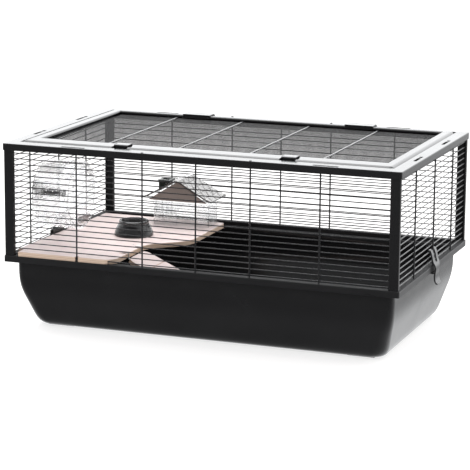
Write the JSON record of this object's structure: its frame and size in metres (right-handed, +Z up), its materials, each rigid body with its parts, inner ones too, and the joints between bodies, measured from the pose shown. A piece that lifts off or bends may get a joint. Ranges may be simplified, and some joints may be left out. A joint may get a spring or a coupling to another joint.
{
  "type": "hamster cage",
  "caption": "Long small-animal cage: deep black tray, wire upper part with a hinged mesh lid, wooden shelf and ramp, clear wheel, house and bowl.",
  "frame": {"origin": "centre of the footprint on the floor, under the tray's feet", "axes": "+X to the right along the length, +Y to the back, +Z up"},
  "size_m": [0.8012, 0.48, 0.3652],
  "materials": {
    "tray_plastic": "glossy moulded black",
    "frame_plastic": "glossy moulded black",
    "coated_wire": "black powder-coated wire",
    "latch_plastic": "glossy black",
    "clip_plastic": "satin black",
    "birch_ply": "bare sanded birch plywood",
    "steel": "zinc-plated",
    "bowl_plastic": "glossy black",
    "clear_plastic": "clear moulded polystyrene",
    "smoked_plastic": "smoked translucent plastic",
    "chimney_plastic": "dark green-black plastic"
  },
  "bodies": {
    "cage": {"base_tray": "tray_plastic", "bottom_rail_front": "frame_plastic", "bottom_rail_back": "frame_plastic", "bottom_rail_left": "frame_plastic", "bottom_rail_right": "frame_plastic", "top_rail_front": "frame_plastic", "top_rail_back": "frame_plastic", "top_rail_left": "frame_plastic", "top_rail_right": "frame_plastic", "corner_post_front_left": "frame_plastic", "corner_post_front_right": "frame_plastic", "corner_post_back_left": "frame_plastic", "corner_post_back_right": "frame_plastic", "wire_panel_front": "coated_wire", "wire_panel_back": "coated_wire", "wire_panel_left": "coated_wire", "wire_panel_right": "coated_wire", "frame_rivets": "frame_plastic", "lid_hinge_brackets": "frame_plastic", "lid_hinge_pins": "steel", "shelf_board": "birch_ply", "shelf_screws": "steel", "wheel_axle": "clip_plastic", "wheel_axle_cap": "clip_plastic", "wheel_clamp_plate": "clip_plastic", "wheel_clamp_bolt": "steel", "wheel_clamp_nut": "clip_plastic"},
    "lid": {"lid_frame": "frame_plastic", "lid_mesh": "coated_wire", "lid_hinge_leaves": "frame_plastic"},
    "latch_left": {"latch_left": "latch_plastic"},
    "latch_right": {"latch_right": "latch_plastic"},
    "clip_left": {"clip_left": "clip_plastic"},
    "clip_right": {"clip_right": "clip_plastic"},
    "ramp": {"ramp_board": "birch_ply", "ramp_hooks": "steel"},
    "bowl": {"bowl": "bowl_plastic"},
    "house": {"house_body": "clear_plastic", "house_roof": "smoked_plastic", "house_chimney": "chimney_plastic"},
    "wheel": {"wheel_drum": "clear_plastic"}
  },
  "joints": [
    {"name": "lid_hinge", "type": "hinge", "parent": "cage", "child": "lid", "pos_m": [0, 0.231, 0.36], "axis": [-1, 0, 0], "range_deg": [0, 100]},
    {"name": "latch_left_slide", "type": "slide", "parent": "lid", "child": "latch_left", "axis": [0, -1, 0], "range_m": [0, 0.008]},
    {"name": "latch_right_slide", "type": "slide", "parent": "lid", "child": "latch_right", "axis": [0, -1, 0], "range_m": [0, 0.008]},
    {"name": "clip_left_hinge", "type": "hinge", "parent": "cage", "child": "clip_left", "pos_m": [-0.384, 0, 0.17044], "axis": [0, 1, 0], "range_deg": [0, 50]},
    {"name": "clip_right_hinge", "type": "hinge", "parent": "cage", "child": "clip_right", "pos_m": [0.384, 0, 0.17044], "axis": [0, -1, 0], "range_deg": [0, 50]},
    {"name": "ramp_hinge", "type": "hinge", "parent": "cage", "child": "ramp", "pos_m": [-0.1642, -0.144, 0.1544], "axis": [0, -1, 0], "range_deg": [0, 25]},
    {"name": "wheel_spin", "type": "hinge", "parent": "cage", "child": "wheel", "pos_m": [-0.326, -0.098, 0.243], "axis": [1, 0, 0], "continuous": true},
    {"name": "bowl_lift", "type": "slide", "parent": "cage", "child": "bowl", "axis": [0, 0, 1], "range_m": [0, 0.12]},
    {"name": "house_lift", "type": "slide", "parent": "cage", "child": "house", "axis": [0, 0, 1], "range_m": [0, 0.09]}
  ]
}
